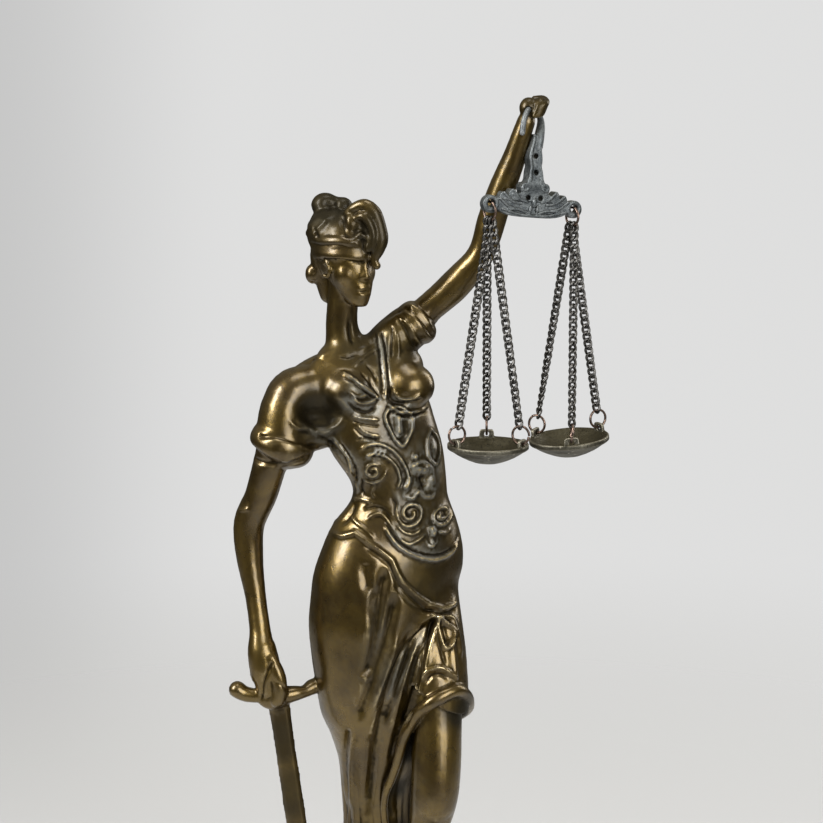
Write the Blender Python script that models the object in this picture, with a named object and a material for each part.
"""Statuette of Justice: a slim bronze woman with a blindfold, a sword and a hanging pair of scales.

Metres, +Z up, origin at the centre of the plinth's underside. The chest and the scale beam face -Y.
The figure is a free form: its stations and carving are in MM, a share of FIGURE_HEIGHT.
Its points are written as they look from the front right: across the view, away from it, and up.
"""

from math import cos, pi, radians, sin

import bmesh
import bpy
import numpy as np
from mathutils import Matrix, Vector

# Driving dimensions
FIGURE_HEIGHT = 0.400  # from the top of the plinth to the top of the raised fist
PLINTH_RADIUS = 0.054
PLINTH_HEIGHT = 0.022
PLINTH_EDGE = 0.003  # the rounded top edge
TOUCH_GAP = 0.0003  # between two pieces that rest on each other

BEAM_REACH = 0.0184  # from the middle of the beam to the hole of an eyelet
BEAM_THICKNESS = 0.0046
BEAM_DEPTH = 0.0047  # how deep the crescent is below the eyelets' holes
BEAM_LEAN = radians(5.2)  # the right eyelet hangs a little lower
EYELET_RADIUS = 0.0035
EYELET_DROP = 0.0004  # the round of an eyelet below its hole
EYELET_HOLE_RADIUS = 0.0015
EYELET_THICKNESS = 0.0036
LEAF_RISE = 0.0026  # how far the leaves stand above the crescent's top edge
FOOT_WIDTH = 0.0124  # over the two scrolls that the stem stands on
FOOT_HEIGHT = 0.0090
STEM_HEIGHT = 0.0276  # from the eyelets' holes up to where the hook starts
STEM_WIDTH = 0.0062
STEM_THICKNESS = 0.0054
STEM_TOP_WIDTH = 0.0024
STEM_TOP_THICKNESS = 0.0026
STEM_DRIFT = 0.0010  # the top of the stem stands this far to the left of its foot
STEM_HOLE_RADIUS = 0.0010
HOOK_WIRE_RADIUS = 0.0011

RING_RADIUS = 0.0036  # to the middle of the wire
RING_WIRE_RADIUS = 0.0005
RING_TURN = radians(14)  # a beam ring's plane, from straight across the beam
RING_LIFT = 0.0004  # the top of a beam ring's wire above the middle of the hole
LINK_PITCH = 0.0032
LINK_WIDTH = 0.0033
LINK_WIRE = 0.0010
END_LINK_LENGTH = 0.0046

PAN_RADIUS = 0.0162
PAN_DEPTH = 0.0074
PAN_WALL = 0.0011
PAN_DROP = 0.0956  # from an eyelet's hole down to the rim of the left pan
SHORTER_CHAINS = 0.0032  # the right pan hangs this much higher, by one link
RIGHT_PAN_LEAN = radians(5.5)  # its outer side is up
LUG_WIDTH = 0.0056
LUG_HEIGHT = 0.0036
LUG_THICKNESS = 0.0012
LUG_HOLE_RADIUS = 0.0011
LUG_HOLE_Z = 0.0016  # above the rim
LUG_INSET = 0.0012  # from the rim's edge in to the middle of a lug

MODELLED_HEIGHT = 400.0
MM = FIGURE_HEIGHT / MODELLED_HEIGHT
FIGURE_TRIANGLES = 4620
VIEW_TURN = radians(25)  # the chest faces this far to the right of the view its points are read from
HEAD_TURN = radians(38)

BRONZE = ("bronze", (0.17, 0.12, 0.055), 0.36, 1.0)
PEWTER = ("pewter", (0.11, 0.12, 0.13), 0.48, 1.0)
CHAIN_STEEL = ("chain_steel", (0.12, 0.115, 0.11), 0.38, 1.0)
COPPER_WIRE = ("copper_wire", (0.34, 0.22, 0.17), 0.35, 1.0)
PAN_METAL = ("pan_metal", (0.16, 0.155, 0.13), 0.45, 1.0)
MARBLE = ("black_marble", (0.02, 0.02, 0.022), 0.18, 0.0)


def clear_scene():
    for thing in list(bpy.data.objects):
        bpy.data.objects.remove(thing)


def material(recipe):
    """The material of that name, made once."""
    name, colour, roughness, metallic = recipe
    made = bpy.data.materials.get(name)
    if made:
        return made
    made = bpy.data.materials.new(name)
    made.use_nodes = True
    shader = made.node_tree.nodes["Principled BSDF"]
    shader.inputs["Base Color"].default_value = (*colour, 1.0)
    shader.inputs["Roughness"].default_value = roughness
    shader.inputs["Metallic"].default_value = metallic
    return made


def add_object(name, mesh, recipe):
    thing = bpy.data.objects.new(name, mesh)
    thing.data.materials.clear()
    thing.data.materials.append(material(recipe))
    bpy.context.scene.collection.objects.link(thing)
    return thing


def shade_round(mesh, sharp_angle=radians(40)):
    mesh.shade_smooth()
    mesh.set_sharp_from_angle(angle=sharp_angle)


def mesh_of_rings(rings, closed_end_to_end=False):
    """A closed skin through rings of equally many points. The ends are capped, or meet."""
    sides = len(rings[0])
    points = [tuple(point) for ring in rings for point in ring]
    faces = []
    last = len(rings) if closed_end_to_end else len(rings) - 1
    for i in range(last):
        here, there = i * sides, ((i + 1) % len(rings)) * sides
        for j in range(sides):
            k = (j + 1) % sides
            faces.append((here + j, here + k, there + k, there + j))
    if not closed_end_to_end:
        faces.append(tuple(range(sides - 1, -1, -1)))
        faces.append(tuple(last * sides + j for j in range(sides)))
    mesh = bpy.data.meshes.new("rings")
    mesh.from_pydata(points, [], faces)
    tidy = bmesh.new()
    tidy.from_mesh(mesh)
    bmesh.ops.recalc_face_normals(tidy, faces=tidy.faces)
    tidy.to_mesh(mesh)
    tidy.free()
    return mesh


def smooth_row(rows, per_span):
    """Rows of numbers, with per_span rows in each gap, on a Catmull-Rom curve through the given ones."""
    given = np.array(rows, float)
    padded = np.vstack([2 * given[0] - given[1], given, 2 * given[-1] - given[-2]])
    made = []
    for i in range(len(given) - 1):
        a, b, c, d = padded[i : i + 4]
        for t in np.arange(per_span) / per_span:
            bend = (2 * a - 5 * b + 4 * c - d) * t**2 + (3 * b - a - 3 * c + d) * t**3
            made.append(0.5 * (2 * b + (c - a) * t + bend))
    made.append(given[-1])
    return np.array(made)


def level_form(stations, turn, per_span=4, sides=40):
    """A body of level cross-sections. A station is (up, across, away, half_width, half_depth)."""
    rows = smooth_row(stations, per_span)
    along = np.arange(sides) * 2 * pi / sides
    rings = []
    for up, across, away, half_width, half_depth in rows:
        x = max(half_width, 0.2) * np.cos(along)
        y = max(half_depth, 0.2) * np.sin(along)
        rings.append(
            np.column_stack(
                [
                    across + x * cos(turn) - y * sin(turn),
                    away + x * sin(turn) + y * cos(turn),
                    np.full(sides, up),
                ]
            )
        )
    return mesh_of_rings(rings)


def limb_form(stations, per_span=4, sides=20, flat=1.0, flat_along=(0, 1, 0)):
    """A round limb with domed ends. A station is (across, away, up, radius)."""
    rows = smooth_row(stations, per_span)
    path, radii = rows[:, :3], np.maximum(rows[:, 3], 0.3)
    heading = np.gradient(path, axis=0)
    heading /= np.linalg.norm(heading, axis=1)[:, None]
    side = np.cross(heading[0], flat_along)
    if np.linalg.norm(side) < 0.1:
        side = np.cross(heading[0], (1, 0, 0))
    along = np.arange(sides) * 2 * pi / sides
    rings = []
    dome = [(-0.95, 0.31), (-0.7, 0.71), (-0.35, 0.94)]
    for i, (centre, radius, ahead) in enumerate(zip(path, radii, heading)):
        side = side - ahead * np.dot(side, ahead)
        side /= np.linalg.norm(side)
        up = np.cross(ahead, side)
        circle = np.outer(np.cos(along), side) + flat * np.outer(np.sin(along), up)
        if i == 0:
            rings += [centre + ahead * radius * a + circle * radius * b for a, b in dome]
        rings.append(centre + circle * radius)
        if i == len(path) - 1:
            rings += [centre - ahead * radius * a + circle * radius * b for a, b in reversed(dome)]
    return mesh_of_rings(rings)


def ball_form(centre, half_sizes, turn=0.0, lean=0.0):
    """An egg: half_sizes are across the turned width, its depth and its height."""
    egg = bmesh.new()
    bmesh.ops.create_uvsphere(egg, u_segments=24, v_segments=16, radius=1)
    place = Matrix.Translation(centre) @ Matrix.Rotation(turn, 4, "Z") @ Matrix.Rotation(lean, 4, "X")
    bmesh.ops.transform(egg, matrix=place @ Matrix.Diagonal((*half_sizes, 1)), verts=egg.verts)
    mesh = bpy.data.meshes.new("egg")
    egg.to_mesh(mesh)
    egg.free()
    return mesh


def fused(meshes, voxel, smoothing):
    """One skin round all these overlapping forms, with its creases eased."""
    everything = bmesh.new()
    for mesh in meshes:
        everything.from_mesh(mesh)
    joined = bpy.data.meshes.new("joined")
    everything.to_mesh(joined)
    everything.free()
    thing = bpy.data.objects.new("fusing", joined)
    bpy.context.scene.collection.objects.link(thing)
    remesh = thing.modifiers.new("one_skin", "REMESH")
    remesh.mode = "VOXEL"
    remesh.voxel_size = voxel
    ease = thing.modifiers.new("ease", "SMOOTH")
    ease.factor = 0.5
    ease.iterations = smoothing
    return applied(thing)


def applied(thing):
    """The object's mesh with its modifiers applied. The object goes."""
    bpy.context.view_layer.update()
    graph = bpy.context.evaluated_depsgraph_get()
    mesh = bpy.data.meshes.new_from_object(thing.evaluated_get(graph))
    bpy.data.objects.remove(thing)
    return mesh


# The woman, in figure millimetres. A station of a level form is (up, across, away, half_width, half_depth)
GOWN = [
    (5, -11, 7, 27, 24),
    (16, -11, 7, 24, 21),
    (40, -10.5, 7, 19, 17),
    (70, -10, 7, 15.6, 14),
    (98, -9.8, 7, 14.2, 12.6),
    (116, -9.6, 6, 15.2, 13),
    (130, -8.4, 4, 17.6, 16),
    (142, -7, 2, 22.4, 18),
    (152, -5.5, 1, 28, 20.4),
    (164, -3.8, 0, 31.9, 21.8),
    (177, -4.9, 0, 32.6, 22.8),
    (190, -6, 0, 32.4, 23.2),
    (202, -6.1, 0, 31.2, 22.8),
    (211, -4.6, 0, 31.6, 21.8),
    (220, -3.2, 0, 30, 20.2),
    (230, -2.2, 0, 26.4, 17.4),
    (240, -0.2, 0, 20.6, 14.2),
    (248, -0.6, 0, 19.6, 13.4),
    (260, -5, 0, 22.4, 14),
    (272, -9.6, 0.5, 23.4, 14),
    (282, -12.8, 1, 23.6, 13.4),
    (291, -15, 1.5, 22.4, 11.8),
    (299, -17, 2, 16.9, 9.2),
    (305, -19, 2, 9, 7.4),
]
BACK_DRAPE = [
    (5, 8, 17, 20, 13),
    (16, 8, 17, 18, 11),
    (40, 7.5, 17, 15, 9),
    (83, 8, 15, 13, 8.4),
    (125, 9, 12.6, 14, 9.4),
    (162, 9, 7, 16, 13),
]
HEAD = [
    (318.6, -15.6, -8, 2.6, 2.6),
    (321, -16.6, -7, 4.4, 5),
    (325, -18, -5, 6.4, 8),
    (330, -19.8, -3, 8.6, 10.6),
    (336, -21.4, -1, 10.4, 12.8),
    (343, -22.4, 0, 11.4, 13.8),
    (349, -22.8, 0.6, 10.8, 12.8),
    (353, -23, 1, 8, 9.6),
    (355.4, -23, 1, 3, 4),
]
BLINDFOLD = [
    (336.6, -21.6, -0.8, 10.4, 12.8),
    (338, -21.7, -0.7, 12, 14.4),
    (342, -22.1, -0.1, 12.8, 15.2),
    (345.6, -22.4, 0.3, 12.6, 14.9),
    (347, -22.6, 0.4, 11, 13),
]
GROUND = [
    (0.3, 0, 0, 44, 44),
    (4, 0, 0, 44.6, 44.6),
    (8, 0, 0, 43, 43),
    (11, 1, 1, 34, 34),
    (13, 2, 2, 16, 16),
]

# A station of a limb is (across, away, up, radius)
LEFT_LEG = [
    (10, 2, 198, 13),
    (13, -7, 174, 11.6),
    (14.6, -14, 148, 10.4),
    (14.4, -18, 128, 9.9),
    (13.4, -18.6, 117, 9.2),
    (11, -14.6, 103, 7.8),
    (9, -9, 84, 8.2),
    (7.4, -5, 60, 6.4),
    (6.6, -4, 36, 4.4),
    (6.6, -4, 22, 4.8),
]
LEFT_FOOT = [(5.6, 1, 18, 4.8), (8.4, -10, 18, 4.6), (11.4, -20, 15.6, 4.4), (13.4, -27, 14.4, 3.2)]
THIGH_COVER = [(9, 2, 203, 14), (12, -6, 180, 14.4), (14, -11.4, 160, 13.8), (15, -15, 136, 13)]
HEM = [
    (19, 13, 142, 1.6),
    (25, 6, 147, 2),
    (27.8, -5, 154, 2.4),
    (26.6, -14.4, 161.6, 2.6),
    (22, -22, 166.4, 2.7),
    (13, -25.6, 163, 2.7),
    (5.6, -22.4, 155.4, 2.5),
    (1.2, -19, 145, 2.2),
    (-0.8, -16.6, 135.4, 2),
    (-3.2, -14, 127, 1.8),
    (-6, -12, 119, 1.6),
    (-6.4, -9, 108, 1.5),
    (-3, -8, 88, 1.5),
    (0, -9, 62, 1.6),
    (4, -13, 32, 1.8),
    (7, -16, 14, 2),
]
HEM_POINT = (19, -5, 163)  # the skirt over the bare thigh is cut off here
HEM_FACING = Vector((-0.5, 0.2, -0.84))
NECK = [(-21, 3, 298, 9), (-22.9, 1, 308, 6.8), (-22.8, 0, 318, 6.1), (-22, -1, 328, 6.4)]
RIGHT_ARM = [
    (-36, -8, 288, 9.4),
    (-43.4, -12.6, 286.6, 9.6),
    (-46.6, -14, 277, 8.8),
    (-49, -13, 264, 7.8),
    (-51.8, -11.4, 255, 6.8),
    (-55.4, -9, 243, 6.4),
    (-60.4, -7, 231, 6.2),
    (-60.2, -8, 217, 5.4),
    (-58, -11, 203, 4.2),
    (-56.2, -14, 190, 4.2),
    (-55.4, -16, 181, 5.6),
    (-54, -16.4, 172, 6.2),
]
RIGHT_SLEEVE = [(-40, -9.6, 290, 9.8), (-45.4, -12.4, 280, 9.6), (-46.8, -12.4, 269, 11), (-47, -12, 264, 11.6)]
RIGHT_CUFF = [(-46.8, -12, 268.4, 11.2), (-46.8, -12, 266, 12.8), (-47.4, -12, 262, 12.7), (-48.4, -12, 259, 11)]
UNDER_ARM = [(-44, -9, 268, 9), (-36, -5, 268, 8), (-28, -2, 272, 9)]
ARMPIT_BACK = [(-44, -7, 280, 7.6), (-35, -2, 279, 8), (-26, 2, 280, 9)]
SHOULDERS = [(-42, -7, 287, 8.6), (-32, -1, 290, 9), (-20, 4, 293, 9), (-10, 7, 297, 8.6), (-2, 8, 303, 8)]
LEFT_ARM = [
    (-6, 6, 299.6, 8),
    (2, 8, 307.4, 7.6),
    (11, 8, 315.4, 6),
    (22, 8, 325.4, 6.3),
    (32, 7, 337.5, 5.4),
    (36.4, 5, 351.7, 5.6),
    (40, 3, 363.9, 5),
    (44, 1, 375, 4),
    (47.2, -1, 384.2, 3),
    (49.6, -2, 390.4, 3),
]
LEFT_SLEEVE = [(-12, 4, 295.8, 9), (-4, 6, 302.6, 10), (3, 7.4, 308, 9.6)]
LEFT_CUFF = [(3.4, 7.4, 307.4, 8.4), (5.4, 7.6, 309.2, 9.4), (8.6, 8, 311.2, 9.4), (10.6, 8, 312.6, 7.8)]
BREASTS = [(-19.6, -13, 284), (2.8, -3.6, 286)]
BREAST_SIZE = (8.6, 7.4, 8.2)

# The hair, masses and locks
HAIR_CROWN = ((-27, 2, 346.6), (9.8, 11, 10.4))
HAIR_BUNS = [((-29, 5, 357.2), (5.2, 5, 4.9)), ((-22.8, 4.4, 357), (4.4, 4.2, 3.9))]
HAIR_KNOT = ((-34.6, 2.4, 330.4), (2.9, 3.2, 4))
FRONT_CURL = [
    (-21, -4.6, 350.6, 5.8),
    (-16, -8, 352.2, 6),
    (-11, -9.4, 349, 6.4),
    (-9, -10, 342.4, 5),
    (-8.4, -10.4, 336.6, 2.8),
    (-8.6, -10.6, 333.4, 1.6),
]
NAPE_HAIR = [(-30, 2, 338, 5.6), (-30, 3, 331, 4.6), (-28.4, 3, 322, 3.4)]

# The sword, and the hands on it and on the scales
SWORD_WIDTH = 8.6
SWORD_THICKNESS = 3.0
SWORD_TOP = (-48.4, -16.4, 160)
SWORD_POINT = (-28.6, -22, 9)
GUARD = [
    (-64.8, -16.4, 166, 3.5),
    (-61.6, -16.4, 164, 2.9),
    (-56, -16.6, 163.4, 2.5),
    (-48, -17, 164, 3.2),
    (-42, -16, 162.8, 2.5),
    (-37.4, -14, 164, 2.8),
    (-34.6, -12, 166, 3.4),
    (-31, -9, 166, 2.8),
]
RIGHT_HAND = [(-55, -16, 182, 5.4), (-54, -16.6, 174, 6.2), (-53, -17, 166, 4.8)]
THUMB = [(-51.6, -19.6, 179, 2.6), (-48.6, -21, 172, 2.8), (-47.6, -21, 165, 2.6), (-49, -20, 158, 3.2)]
LEFT_PALM = ((50.2, -2.4, 395.4), (3.8, 3.6, 4.3))
LEFT_FINGERS = ((54.4, -3, 396.6), (3.1, 3.6, 3))
LEFT_FINGERTIP = ((54.9, -3.4, 399), (1.2, 1.2, 1))


def blade_form():
    """The sword's blade, a flat hexagon in section that narrows to its point."""
    top, point = np.array(SWORD_TOP, float), np.array(SWORD_POINT, float)
    half, bevel, thick = SWORD_WIDTH / 2, SWORD_WIDTH * 0.2, SWORD_THICKNESS / 2
    section = [(-half, 0), (bevel - half, -thick), (half - bevel, -thick)]
    section += [(half, 0), (half - bevel, thick), (bevel - half, thick)]
    rings = []
    for share, width in ((0, 1), (0.12, 0.93), (0.3, 0.97), (0.8, 0.9), (0.93, 0.62), (1, 0.2)):
        centre = top + (point - top) * share
        rings.append([centre + np.array((x * width, y, 0)) for x, y in section])
    return mesh_of_rings(rings)


def figure_forms():
    """The overlapping masses of the woman, her gown, her sword and the ground that she stands on."""
    forms = [level_form(rows, VIEW_TURN) for rows in (GOWN, BACK_DRAPE, GROUND)]
    forms += [level_form(rows, HEAD_TURN) for rows in (HEAD, BLINDFOLD)]
    forms += [limb_form(rows) for rows in (LEFT_LEG, HEM, NECK, RIGHT_ARM, RIGHT_SLEEVE, LEFT_ARM, LEFT_SLEEVE)]
    forms += [limb_form(rows) for rows in (RIGHT_CUFF, UNDER_ARM, ARMPIT_BACK, SHOULDERS, LEFT_CUFF)]
    forms += [limb_form(rows) for rows in (FRONT_CURL, NAPE_HAIR, GUARD, RIGHT_HAND, THUMB)]
    forms.append(limb_form(LEFT_FOOT, flat=0.75, flat_along=(1, 0, 0)))
    forms.append(cut_below(limb_form(THIGH_COVER, sides=24), HEM_POINT, HEM_FACING))
    forms += [ball_form(centre, BREAST_SIZE, VIEW_TURN) for centre in BREASTS]
    masses = (HAIR_CROWN, *HAIR_BUNS, HAIR_KNOT, LEFT_PALM, LEFT_FINGERS, LEFT_FINGERTIP)
    forms += [ball_form(centre, sizes) for centre, sizes in masses]
    forms.append(blade_form())
    return forms


def cut_below(mesh, point, direction):
    """The mesh without what lies past a plane, capped flat."""
    form = bmesh.new()
    form.from_mesh(mesh)
    everything = form.verts[:] + form.edges[:] + form.faces[:]
    bmesh.ops.bisect_plane(form, geom=everything, plane_co=point, plane_no=direction, clear_outer=True)
    bmesh.ops.holes_fill(form, edges=form.edges)
    form.to_mesh(mesh)
    form.free()
    return mesh


# The carving. A stroke is (half_width, height, [(across, up), ...]), a groove where the height is negative
def arc(centre, radius, start, end, shrink=0.0, steps=9):
    """Points along part of a circle, in degrees, or a spiral when it shrinks on the way."""
    points = []
    for i in range(steps + 1):
        angle, size = radians(start + (end - start) * i / steps), radius * (1 - shrink * i / steps)
        points.append((centre[0] + size * cos(angle), centre[1] + size * sin(angle)))
    return points


CUIRASS_RIM = [(-6.3, 233.4), (-1.5, 225.7), (8.4, 219.4), (14.8, 217.9), (20.5, 219.2), (23.4, 223.3)]
APRON_RIM = [(-27.5, 228.3), (-17.7, 229.9), (-9, 224.5), (-3.1, 219.7), (1.2, 210.7), (11.6, 200.2)]
APRON_RIM += [(17.2, 197.8), (23, 199.5)]
KNOT = (14, 195)
FOLD_ENDS = [(-12, 150), (-8, 138), (-3, 134), (1, 146), (5, 156)]
FRONT_STROKES = [
    (1.3, 1.3, CUIRASS_RIM),
    (1.4, 1.4, APRON_RIM),
    (1.8, 1.2, [(-19, 238), (-23.5, 234.5), (-28, 229)]),
    (1.2, 0.9, [(-13.4, 234.8), (-9.4, 237), (-6.3, 236.4), (-3, 231.8)]),
    (1.5, -1.5, [(-9, 210.6), (-11, 202), (-12.2, 193)]),
    (1.6, -1.6, [(-5.5, 216), (-7.8, 204), (-10.6, 181.5), (-13.5, 173)]),
    (1.6, -1.6, [(-3, 208), (-4.7, 192), (-9.5, 175.6), (-13.4, 158)]),
    (1.4, 1.2, [(8.4, 170.4), (12, 174), (16, 175.6), (20, 174)]),
    (1.4, 1.6, arc((18, 189.5), 4.6, 140, -140)),
    (1.2, 0.9, [(-8.7, 308.3), (-7, 301), (-5.6, 282)]),
    (1.2, 0.9, [(-23.5, 293.6), (-13.2, 287), (-6.2, 281.5)]),
    (1.6, -1.3, [(-21, 281), (-16, 277.6), (-9, 279.5)]),
    (1.4, -1.2, [(-3, 281), (3, 278), (10, 277.5)]),
    (1.3, 0.9, [(-4.3, 278.5), (3.2, 274.6), (11, 274.6)]),
    (2.0, 1.8, [(-38.9, 278.6), (-35.4, 272), (-30.7, 270), (-25, 273), (-20.2, 278.6)]),
    (1.6, -1.6, [(-36, 282), (-31, 277.5), (-26, 280)]),
    (1.1, 1.1, arc((-0.6, 271.6), 5.2, 70, 430)),
    (2.0, 1.2, [(-0.7, 273), (-0.7, 270)]),
    (1.1, 1.0, arc((13.6, 261), 4.2, 80, 280)),
    (1.1, 1.0, [(-15.7, 261), (-12.5, 264.6), (-8, 265), (-3.5, 262.8), (0.5, 258.3), (3, 252), (1.2, 246.3)]),
    (1.0, 0.9, arc((-10.6, 254.2), 3.2, 0, 420, 0.6)),
    (2.2, 1.4, [(6, 253.8), (11, 252.4)]),
    (1.2, 1.1, [(4.4, 252), (2.2, 244), (7, 244.6), (13.2, 243)]),
    (1.1, 1.1, arc((4, 236.7), 5.6, 150, 690, 0.75, 14)),
    (1.1, 1.1, arc((16.8, 234.3), 4.4, 40, -500, 0.75, 14)),
    (1.6, 1.2, [(12.8, 229.6), (13.2, 228)]),
    (1.2, -1.0, [(-18.6, 315), (-18.6, 306), (-17.6, 302)]),
    (1.4, 0.8, [(-26, 301), (-32.3, 298.6), (-39, 296)]),
    (1.4, 0.8, [(-18.8, 301), (-14.2, 301.6), (-9.5, 303.4)]),
    (1.0, -1.0, [(-35.4, 341.6), (-29, 342), (-18, 342.4)]),
    (1.3, -1.2, [(-21.6, 356), (-20, 351.4), (-18.4, 346.8)]),
    (1.2, -1.0, arc((-12, 348.6), 3.4, 160, -120)),
]
BACK_STROKES = [
    (1.4, 1.2, arc((-8, 262), 36, 235, 305)),
    (1.6, -1.3, [(-30, 290), (-20, 272), (-8, 252)]),
    (1.4, 1.1, [(6, 296), (-2, 276), (-10, 254)]),
    (1.3, -1.1, [(-22, 338), (-20, 330), (-22, 322)]),
    (1.2, -1.0, arc((-25, 348), 7, 200, -20)),
]
PLEATS = 15
PLEAT_HEIGHT = 1.5


def knot_strokes():
    """The folds that fan out from the knot at her side, down to the edge of the opened skirt."""
    strokes = []
    for i, end in enumerate(FOLD_ENDS):
        sag = (KNOT[0] + (end[0] - KNOT[0]) * 0.55, KNOT[1] + (end[1] - KNOT[1]) * 0.35)
        strokes.append((1.5, -1.5, [KNOT, sag, end]))
    return strokes


def stroke_rise(points, facing, strokes):
    """How far each point rises along its normal under strokes seen straight on."""
    flat = points[:, [0, 2]]
    rise = np.zeros(len(points))
    for half_width, height, path in strokes:
        nearest = np.full(len(points), 1e9)
        curve = smooth_row(path, 4) if len(path) < 8 else np.array(path)
        for a, b in zip(curve[:-1], curve[1:]):
            along = b - a
            share = np.clip((flat - a) @ along / max(along @ along, 1e-9), 0, 1)
            gap = flat - a - share[:, None] * along
            nearest = np.minimum(nearest, (gap * gap).sum(axis=1))
        rise += height * np.exp(-nearest / half_width**2)
    return rise * np.clip(facing * 2.2, 0, 1)


def pleat_rise(points):
    """Upright folds round the lower gown, deepest at the ground and gone at the hips."""
    rows = np.array(GOWN)
    up = points[:, 2]
    across, away, width, depth = (np.interp(up, rows[:, 0], rows[:, i]) for i in range(1, 5))
    x, y = points[:, 0] - across, points[:, 1] - away
    turned_x, turned_y = x * cos(VIEW_TURN) + y * sin(VIEW_TURN), y * cos(VIEW_TURN) - x * sin(VIEW_TURN)
    reach = np.hypot(turned_x / width, turned_y / depth)
    angle = np.arctan2(turned_y / depth, turned_x / width)
    on_gown = np.exp(-(((reach - 1) / 0.16) ** 2)) * np.clip((150 - up) / 60, 0, 1) * np.clip((up - 6) / 10, 0, 1)
    wave = 1 - 2 * np.abs(np.sin(angle * PLEATS / 2 + 0.02 * up + 0.8 * np.sin(2 * angle)))
    return -PLEAT_HEIGHT * wave * on_gown * (0.5 + 0.5 * np.clip((110 - up) / 60, 0, 1))


def carved(mesh):
    count = len(mesh.vertices)
    points, normals = np.empty(count * 3), np.empty(count * 3)
    mesh.vertices.foreach_get("co", points)
    mesh.vertices.foreach_get("normal", normals)
    points, normals = points.reshape(-1, 3), normals.reshape(-1, 3)
    rise = stroke_rise(points, -normals[:, 1], FRONT_STROKES + knot_strokes())
    rise += stroke_rise(points, normals[:, 1], BACK_STROKES)
    rise += pleat_rise(points)
    points = points + normals * rise[:, None]
    mesh.vertices.foreach_set("co", points.ravel())
    mesh.update()
    return mesh


def to_object(point):
    """A point in figure millimetres, seen from the front right, in the part's metres."""
    turned = Matrix.Rotation(-VIEW_TURN, 4, "Z") @ (Vector(point) * MM)
    return turned + Vector((0, 0, PLINTH_HEIGHT))


def boolean(base, other, operation):
    """The base mesh with the other one added or taken away. Both objects go."""
    change = base.modifiers.new("change", "BOOLEAN")
    change.operation = operation
    change.solver = "EXACT"
    change.object = other
    mesh = applied(base)
    bpy.data.objects.remove(other)
    return mesh


def loose(mesh, name="working"):
    thing = bpy.data.objects.new(name, mesh)
    bpy.context.scene.collection.objects.link(thing)
    return thing


# The scale beam hangs by its hook through the raised fist. Its middle, in figure millimetres
BEAM_MIDDLE = (51.5, -3.0, 357.8)
HOOK = [
    (47.4, -8.2, 386.2),
    (47.9, -7.8, 390.4),
    (49.4, -5.8, 394.4),
    (51.4, -2.6, 396.0),
    (53.4, 0.8, 395.0),
    (54.8, 2.4, 391.4),
    (54.6, 0.6, 387.4),
    (54.0, -2.4, 382.6),
]


def hook_form(radius, sides, per_span=2):
    mesh = limb_form([(*point, radius / MM) for point in HOOK], per_span, sides)
    mesh.transform(Matrix.Translation((0, 0, PLINTH_HEIGHT)) @ Matrix.Rotation(-VIEW_TURN, 4, "Z") @ Matrix.Scale(MM, 4))
    return mesh


def make_figure():
    body = carved(fused(figure_forms(), 1.2, 3))
    place = Matrix.Translation((0, 0, PLINTH_HEIGHT)) @ Matrix.Rotation(-VIEW_TURN, 4, "Z") @ Matrix.Scale(MM, 4)
    body.transform(place)
    thing = loose(body)
    slim = thing.modifiers.new("fewer_faces", "DECIMATE")
    slim.ratio = FIGURE_TRIANGLES / (2 * len(body.polygons))
    thing = loose(applied(thing))
    tunnel = loose(hook_form(HOOK_WIRE_RADIUS + TOUCH_GAP, 8))
    mesh = boolean(thing, tunnel, "DIFFERENCE")
    shade_round(mesh, radians(60))
    add_object("figure", mesh, BRONZE)


def flat_plate(outline, holes, thickness):
    """A plate in the XZ plane cut from an outline with holes, both lists of (x, z) in metres."""
    curve = bpy.data.curves.new("plate", "CURVE")
    curve.dimensions = "2D"
    curve.fill_mode = "BOTH"
    curve.extrude = thickness / 2
    for ring in [outline, *holes]:
        spline = curve.splines.new("POLY")
        spline.points.add(len(ring) - 1)
        for spot, (x, z) in zip(spline.points, ring):
            spot.co = (x, z, 0, 1)
        spline.use_cyclic_u = True
    mesh = applied(loose(curve))
    weld = bmesh.new()
    weld.from_mesh(mesh)
    bmesh.ops.remove_doubles(weld, verts=weld.verts, dist=1e-6)
    bmesh.ops.recalc_face_normals(weld, faces=weld.faces)
    weld.to_mesh(mesh)
    weld.free()
    mesh.transform(Matrix.Rotation(pi / 2, 4, "X"))
    return mesh


def circle(x, z, radius, sides=10):
    return [(x + radius * cos(2 * pi * i / sides), z + radius * sin(2 * pi * i / sides)) for i in range(sides)]


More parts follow.
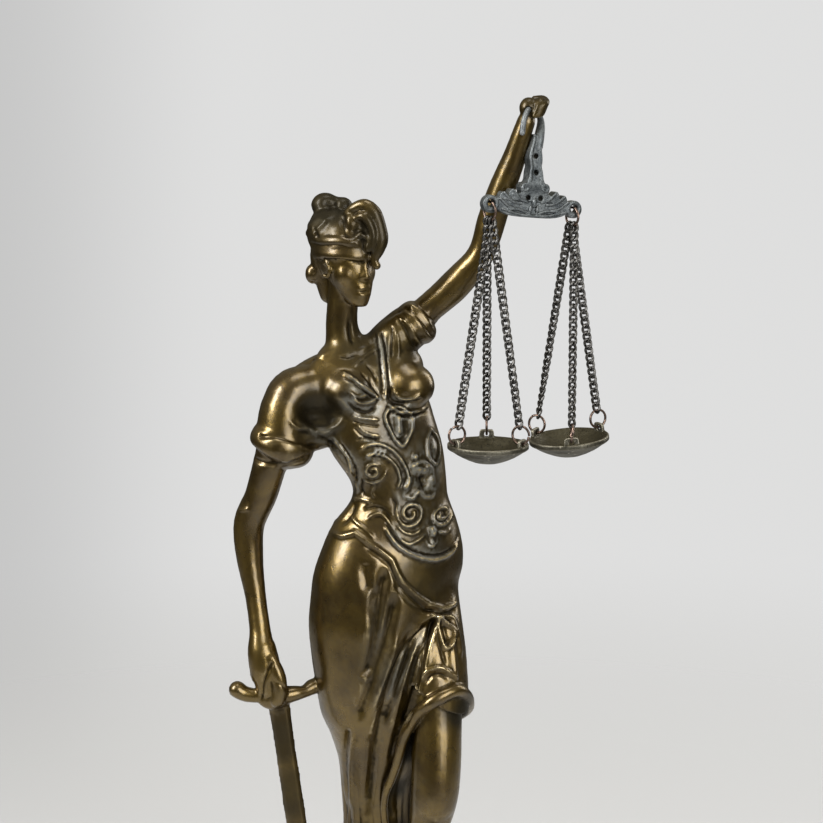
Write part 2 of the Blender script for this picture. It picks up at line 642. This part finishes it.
def beam_outline():
    """Half of the beam: under the crescent, round an eyelet, over two leaves and a scroll, and up the stem."""
    under = [(BEAM_REACH * s, -BEAM_DEPTH * (1 - s**4)) for s in (0, 0.3, 0.55, 0.72, 0.85)]
    eye = []
    for angle in range(-120, 121, 30):
        x, z = EYELET_RADIUS * cos(radians(angle)), EYELET_RADIUS * sin(radians(angle))
        eye.append((BEAM_REACH + x, z - EYELET_DROP))
    start, end = BEAM_REACH - EYELET_RADIUS * 0.8, FOOT_WIDTH / 2 + 0.0008
    crest = []
    for share, rise in ((0.06, 0.4), (0.16, 1.0), (0.32, 0.95), (0.44, 0.0), (0.56, 0.9), (0.74, 1.05), (0.9, 0.2)):
        edge = EYELET_RADIUS * 0.55 + (FOOT_HEIGHT * 0.5 - EYELET_RADIUS * 0.55) * share
        crest.append((start + (end - start) * share, edge + LEAF_RISE * (rise - 0.2)))
    foot = [(0.94, 0.56), (1.0, 0.76), (0.86, 0.95), (0.64, 1.0)]
    scroll = [(FOOT_WIDTH / 2 * x, FOOT_HEIGHT * z) for x, z in foot]
    widths = [(0.38, 1.0), (0.45, 1.0), (0.54, 0.80), (0.66, 0.92), (0.80, 0.76), (0.92, 0.5)]
    stem = [(STEM_WIDTH / 2 * x, STEM_HEIGHT * z) for z, x in widths]
    stem.append((STEM_TOP_WIDTH / 2, STEM_HEIGHT))
    half = under + eye + crest + scroll + stem
    return half + [(-x, z) for x, z in reversed(half) if x > 1e-6]


def thinned(plate):
    """The plate is thickest in the stem, and thins towards its top and round the eyelets."""
    for corner in plate.vertices:
        up = min(max((corner.co.z - FOOT_HEIGHT) / (STEM_HEIGHT - FOOT_HEIGHT), 0), 1)
        foot = min(max(corner.co.z / FOOT_HEIGHT - 0.6, 0) / 0.3, 1)
        out = min(max(abs(corner.co.x) / (BEAM_REACH - EYELET_RADIUS) - 0.6, 0) / 0.4, 1)
        full = BEAM_THICKNESS + (STEM_THICKNESS - BEAM_THICKNESS) * foot
        full += (STEM_TOP_THICKNESS - STEM_THICKNESS) * up**2
        full += (EYELET_THICKNESS - BEAM_THICKNESS) * out
        corner.co.y *= full / BEAM_THICKNESS
        corner.co.x -= STEM_DRIFT * min(2 * up, 1)
    return plate


def make_beam():
    holes = [circle(s * BEAM_REACH, 0, EYELET_HOLE_RADIUS) for s in (-1, 1)]
    holes += [circle(s * STEM_WIDTH * 0.44, FOOT_HEIGHT * 0.34, STEM_HOLE_RADIUS, 6) for s in (-1, 1)]
    holes += [circle(0, STEM_HEIGHT * share, STEM_HOLE_RADIUS, 6) for share in (0.47, 0.70)]
    plate = thinned(flat_plate(beam_outline(), holes, BEAM_THICKNESS))
    plate.transform(Matrix.Translation(to_object(BEAM_MIDDLE)) @ Matrix.Rotation(BEAM_LEAN, 4, "Y"))
    mesh = boolean(loose(plate), loose(hook_form(HOOK_WIRE_RADIUS, 6)), "UNION")
    shade_round(mesh)
    add_object("scale_beam", mesh, PEWTER)


def eyelet(side):
    """Where the hole of one eyelet is."""
    lean = Matrix.Rotation(BEAM_LEAN, 4, "Y")
    return to_object(BEAM_MIDDLE) + lean @ Vector((side * BEAM_REACH, 0, 0))


def ring_mesh(centre, face, radius, wire, around=12, sides=4, longer=0.0, along=None):
    """A closed loop of wire, round or drawn out along one direction. Its flat side faces along face."""
    face = face.normalized()
    tall = (along if along else Vector((0, 0, 1))).normalized()
    tall = (tall - face * tall.dot(face)).normalized()
    wide = tall.cross(face)
    rings = []
    for i in range(around):
        a = 2 * pi * i / around
        out = wide * cos(a) + tall * sin(a)
        middle = centre + out * radius + tall * (longer / 2 if sin(a) > 0 else -longer / 2)
        rings.append(
            [
                middle + (out * cos(b) + face * sin(b)) * wire
                for b in (2 * pi * (j + 0.5) / sides for j in range(sides))
            ]
        )
    return mesh_of_rings(rings, closed_end_to_end=True)


def beam_ring(side):
    """(centre, the direction its flat side faces) of the ring in one eyelet."""
    face = Matrix.Rotation(RING_TURN, 3, "Z") @ Vector((1, 0, 0))
    return eyelet(side) + Vector((0, 0, RING_LIFT - RING_RADIUS)), face


# A pan and its chains: which eyelet, where its lugs point in degrees, how far it leans and hangs higher
SIDES = (
    ("left", -1, (65, 185, 305), 0.0, 0.0),
    ("right", 1, (5, 125, 245), RIGHT_PAN_LEAN, SHORTER_CHAINS),
)


def pan_place(side, lean, rise):
    middle = eyelet(side) + Vector((0, 0, rise - PAN_DROP))
    return Matrix.Translation(middle) @ Matrix.Rotation(-lean, 4, "Y")


def make_pan(name, side, lug_angles, lean, rise):
    profile = [(0, -PAN_DEPTH), (0.36, -0.90 * PAN_DEPTH), (0.68, -0.60 * PAN_DEPTH), (0.90, -0.22 * PAN_DEPTH)]
    profile += [(1.0, 0), (0.965, 0.0007)]
    inner = [(0.86, -0.22 * PAN_DEPTH + PAN_WALL), (0.64, -0.60 * PAN_DEPTH + PAN_WALL)]
    inner += [(0.33, -0.90 * PAN_DEPTH + PAN_WALL), (0, -PAN_DEPTH + PAN_WALL)]
    turned = bmesh.new()
    corners = [turned.verts.new((share * PAN_RADIUS, 0, z)) for share, z in profile + inner]
    edges = [turned.edges.new(pair) for pair in zip(corners[:-1], corners[1:])]
    bmesh.ops.spin(
        turned, geom=corners + edges, cent=(0, 0, 0), axis=(0, 0, 1), angle=2 * pi, steps=18, use_merge=True
    )
    bmesh.ops.remove_doubles(turned, verts=turned.verts, dist=1e-5)
    bmesh.ops.recalc_face_normals(turned, faces=turned.faces)
    bowl = bpy.data.meshes.new("bowl")
    turned.to_mesh(bowl)
    turned.free()
    half = LUG_WIDTH / 2
    tab = [(-half, -0.0012), (half, -0.0012), (half * 0.86, LUG_HEIGHT * 0.45), (half * 0.4, LUG_HEIGHT)]
    tab += [(-half * 0.4, LUG_HEIGHT), (-half * 0.86, LUG_HEIGHT * 0.45)]
    for angle in lug_angles:
        lug = flat_plate(tab, [circle(0, LUG_HOLE_Z, LUG_HOLE_RADIUS, 8)], LUG_THICKNESS)
        out = Matrix.Rotation(radians(angle) + pi / 2, 4, "Z")
        lug.transform(out @ Matrix.Translation((0, -(PAN_RADIUS - LUG_INSET), 0)))
        bowl = boolean(loose(bowl), loose(lug), "UNION")
    bowl.transform(pan_place(side, lean, rise))
    shade_round(bowl)
    add_object(name, bowl, PAN_METAL)


def chain_ends(side, angle, lean, rise, place_on_ring):
    """Where a chain starts on its beam ring and ends on its pan ring, and the pan ring's middle and face."""
    place = pan_place(side, lean, rise)
    out = Vector((cos(radians(angle)), sin(radians(angle)), 0))
    hole = place @ (out * (PAN_RADIUS - LUG_INSET) + Vector((0, 0, LUG_HOLE_Z)))
    centre, face = beam_ring(side)
    level = Vector((0, 0, 1)).cross(face).normalized()
    slant = level * sin(place_on_ring) - Vector((0, 0, 1)) * cos(place_on_ring)
    top = centre + slant * RING_RADIUS
    toward = (top - hole).normalized()
    ring_face = toward.cross(out).normalized()
    ring_middle = hole + toward * (RING_RADIUS + 0.0001)
    bottom = ring_middle + toward * RING_RADIUS
    wire_top = level * cos(place_on_ring) + Vector((0, 0, 1)) * sin(place_on_ring)
    return top, bottom, ring_middle, ring_face, wire_top


def make_chain(name, top, bottom, top_face, bottom_face):
    """One strip of beads between two open links, twisted to face the ring at each end."""
    down = (bottom - top).normalized()
    length = (bottom - top).length
    inside = END_LINK_LENGTH / 2 - LINK_WIRE - RING_WIRE_RADIUS - TOUCH_GAP
    loop_radius = LINK_WIDTH / 2 - LINK_WIRE / 2 + 0.0001
    stretch = END_LINK_LENGTH - 2 * loop_radius - LINK_WIRE
    first, last = top + down * inside, bottom - down * inside
    turn = bottom_face - down * bottom_face.dot(down)
    start = top_face - down * top_face.dot(down)
    if start.dot(turn) < 0:
        start = -start
    ends = [(first, start.normalized()), (last, turn.normalized())]
    loops = [
        ring_mesh(spot, face, loop_radius, LINK_WIRE / 2, 6, 4, stretch, down) for spot, face in ends
    ]
    reach = END_LINK_LENGTH / 2 - LINK_WIRE * 0.6
    from_top, to_bottom = first + down * reach, last - down * reach
    span = (to_bottom - from_top).length
    beads = max(1, round(span / (2 * LINK_PITCH)))
    rings = []
    for i in range(2 * beads + 1):
        share = i / (2 * beads)
        face = ends[0][1].lerp(ends[1][1], share)
        face = (face - down * face.dot(down)).normalized()
        wide = down.cross(face)
        full = 1.0 if i % 2 else 0.72
        middle = from_top + down * span * share
        rings.append(
            [
                middle + wide * LINK_WIDTH / 2 * full * a + face * LINK_WIRE * 0.9 * full * b
                for a, b in ((1, 0), (0, 1), (-1, 0), (0, -1))
            ]
        )
    strip = mesh_of_rings(rings)
    for loop in loops:
        strip = boolean(loose(strip), loose(loop), "UNION")
    shade_round(strip)
    add_object(name, strip, CHAIN_STEEL)


def lug_side(angle, ring_face):
    """How far a lug lies along the beam ring's wire at its lowest point."""
    level = Vector((0, 0, 1)).cross(ring_face)
    return level.dot(Vector((cos(radians(angle)), sin(radians(angle)), 0)))


def make_scales():
    for name, side, angles, lean, rise in SIDES:
        centre, face = beam_ring(side)
        add_object(f"beam_ring_{name}", ring_mesh(centre, face, RING_RADIUS, RING_WIRE_RADIUS), COPPER_WIRE)
        make_pan(f"pan_{name}", side, angles, lean, rise)
        order = sorted(angles, key=lambda angle: -lug_side(angle, face))
        for number, angle in enumerate(angles):
            place_on_ring = radians(23) * (1 - order.index(angle))
            top, bottom, middle, ring_face, wire = chain_ends(side, angle, lean, rise, place_on_ring)
            tag = f"{name}_{number + 1}"
            pan_ring = ring_mesh(middle, ring_face, RING_RADIUS, RING_WIRE_RADIUS)
            add_object(f"pan_ring_{tag}", pan_ring, COPPER_WIRE)
            toward = (top - middle).normalized()
            make_chain(f"chain_{tag}", top, bottom, wire, toward.cross(ring_face))


def make_plinth():
    round_block = bmesh.new()
    bmesh.ops.create_cone(
        round_block, cap_ends=True, segments=32, radius1=PLINTH_RADIUS, radius2=PLINTH_RADIUS, depth=PLINTH_HEIGHT
    )
    bmesh.ops.translate(round_block, verts=round_block.verts, vec=(0, 0, PLINTH_HEIGHT / 2))
    top = [edge for edge in round_block.edges if all(v.co.z > PLINTH_HEIGHT * 0.9 for v in edge.verts)]
    bmesh.ops.bevel(round_block, geom=top, offset=PLINTH_EDGE, segments=3, affect="EDGES", profile=0.5)
    mesh = bpy.data.meshes.new("plinth")
    round_block.to_mesh(mesh)
    round_block.free()
    shade_round(mesh)
    add_object("plinth", mesh, MARBLE)


def main():
    clear_scene()
    make_figure()
    make_beam()
    make_scales()
    make_plinth()


main()
